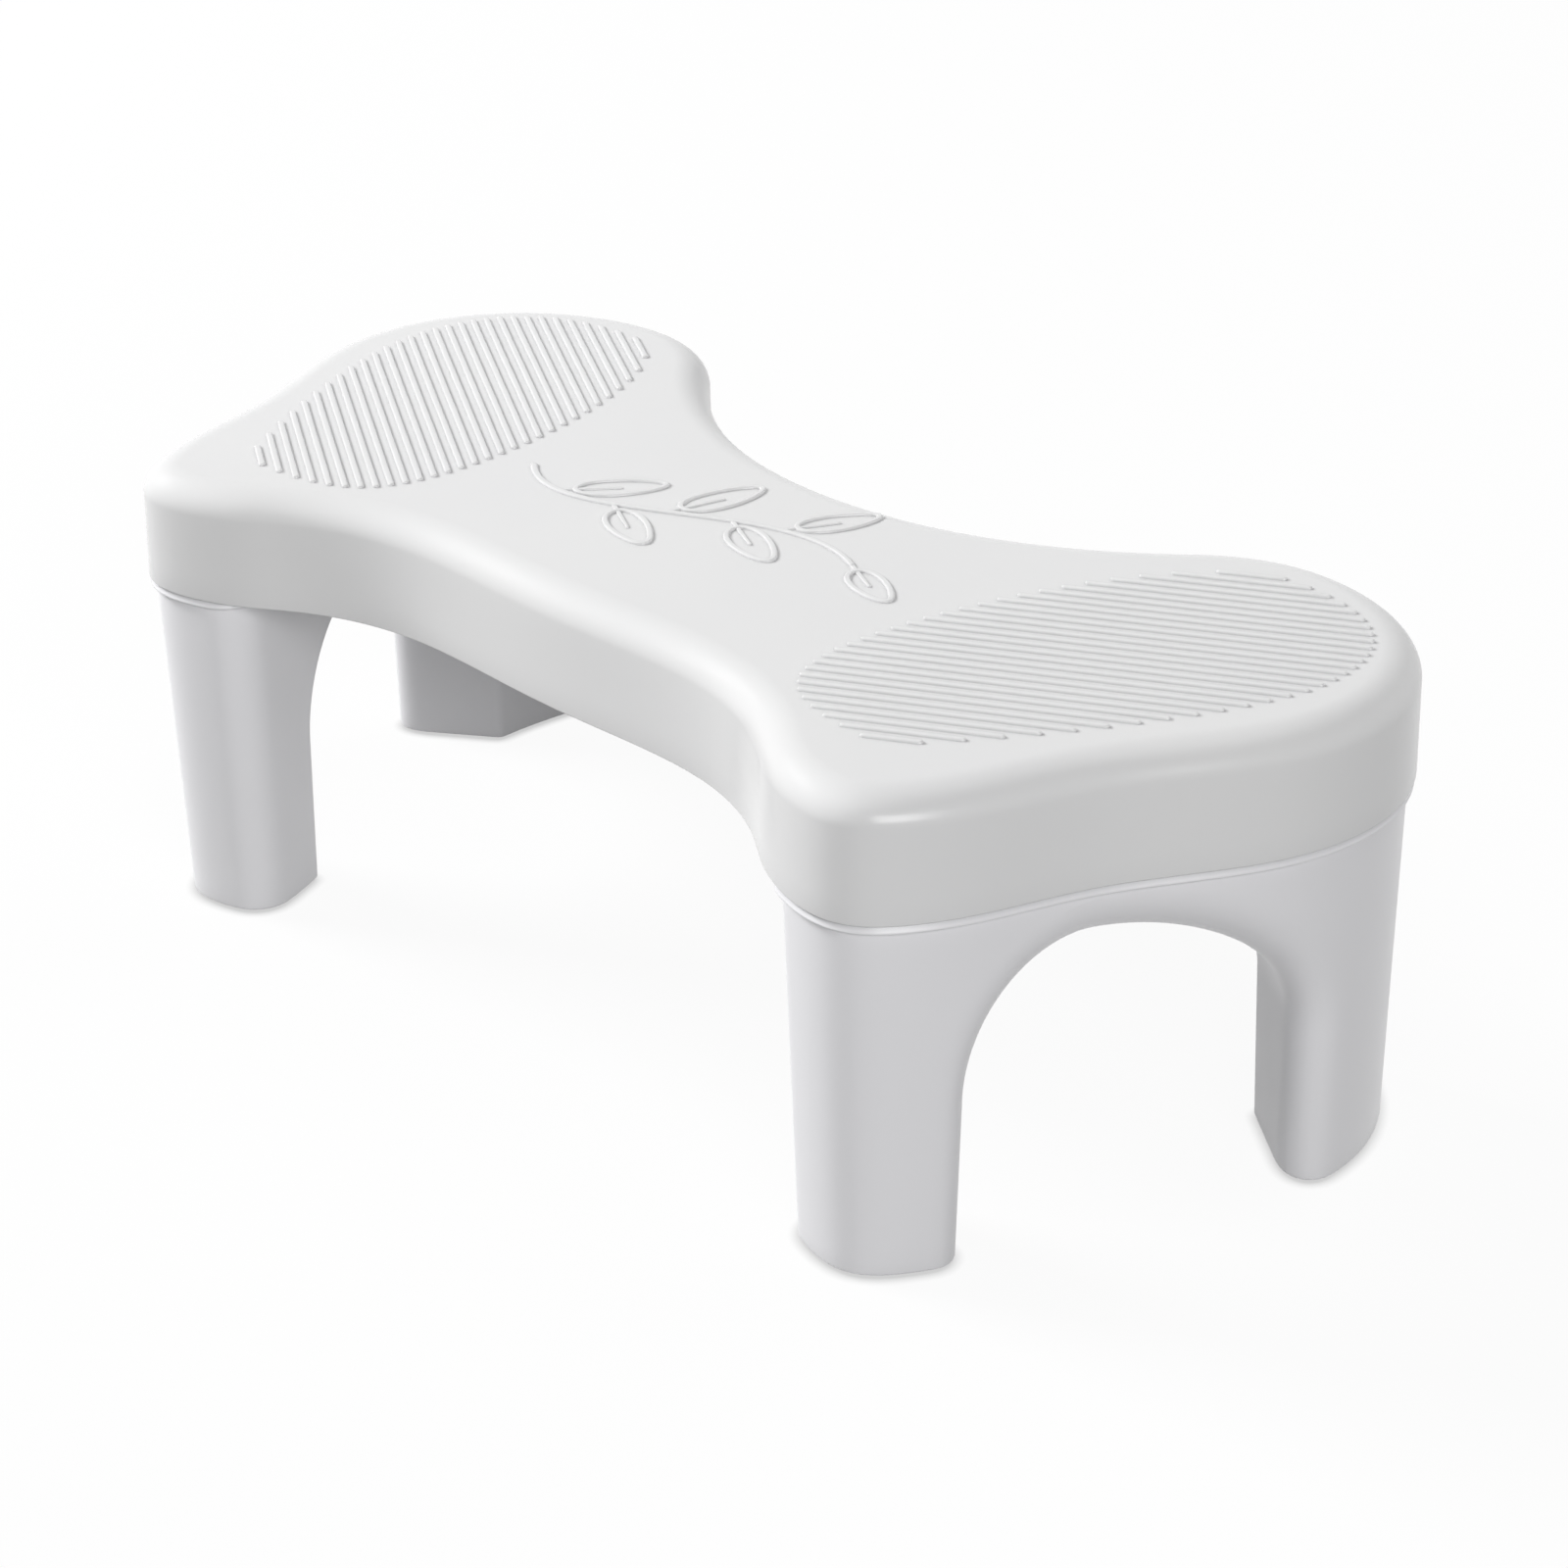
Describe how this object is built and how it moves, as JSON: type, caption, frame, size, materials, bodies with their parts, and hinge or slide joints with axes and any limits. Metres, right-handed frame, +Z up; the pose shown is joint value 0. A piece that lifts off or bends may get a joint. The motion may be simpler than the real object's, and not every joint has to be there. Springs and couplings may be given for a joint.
{
  "type": "toilet footstool",
  "caption": "Low waisted footstool: a moulded top with ribbed foot areas on hollow arched leg frames with rubber foot pads.",
  "frame": {"origin": "on the floor, below the middle of the top's bounding box", "axes": "+X along the long axis to the right, +Z up, +Y to the side with the deep waist, which goes against the toilet"},
  "size_m": [0.481, 0.233, 0.1659],
  "materials": {
    "top_plastic": "satin white injection-moulded polypropylene",
    "leg_plastic": "satin white injection-moulded polypropylene",
    "foot_rubber": "matt grey"
  },
  "bodies": {
    "root": {"top_shell": "top_plastic", "leg_frame_right": "leg_plastic", "leg_frame_left": "leg_plastic", "foot_pad_near_right": "foot_rubber", "foot_pad_near_left": "foot_rubber", "foot_pad_far_right": "foot_rubber", "foot_pad_far_left": "foot_rubber"}
  },
  "joints": []
}
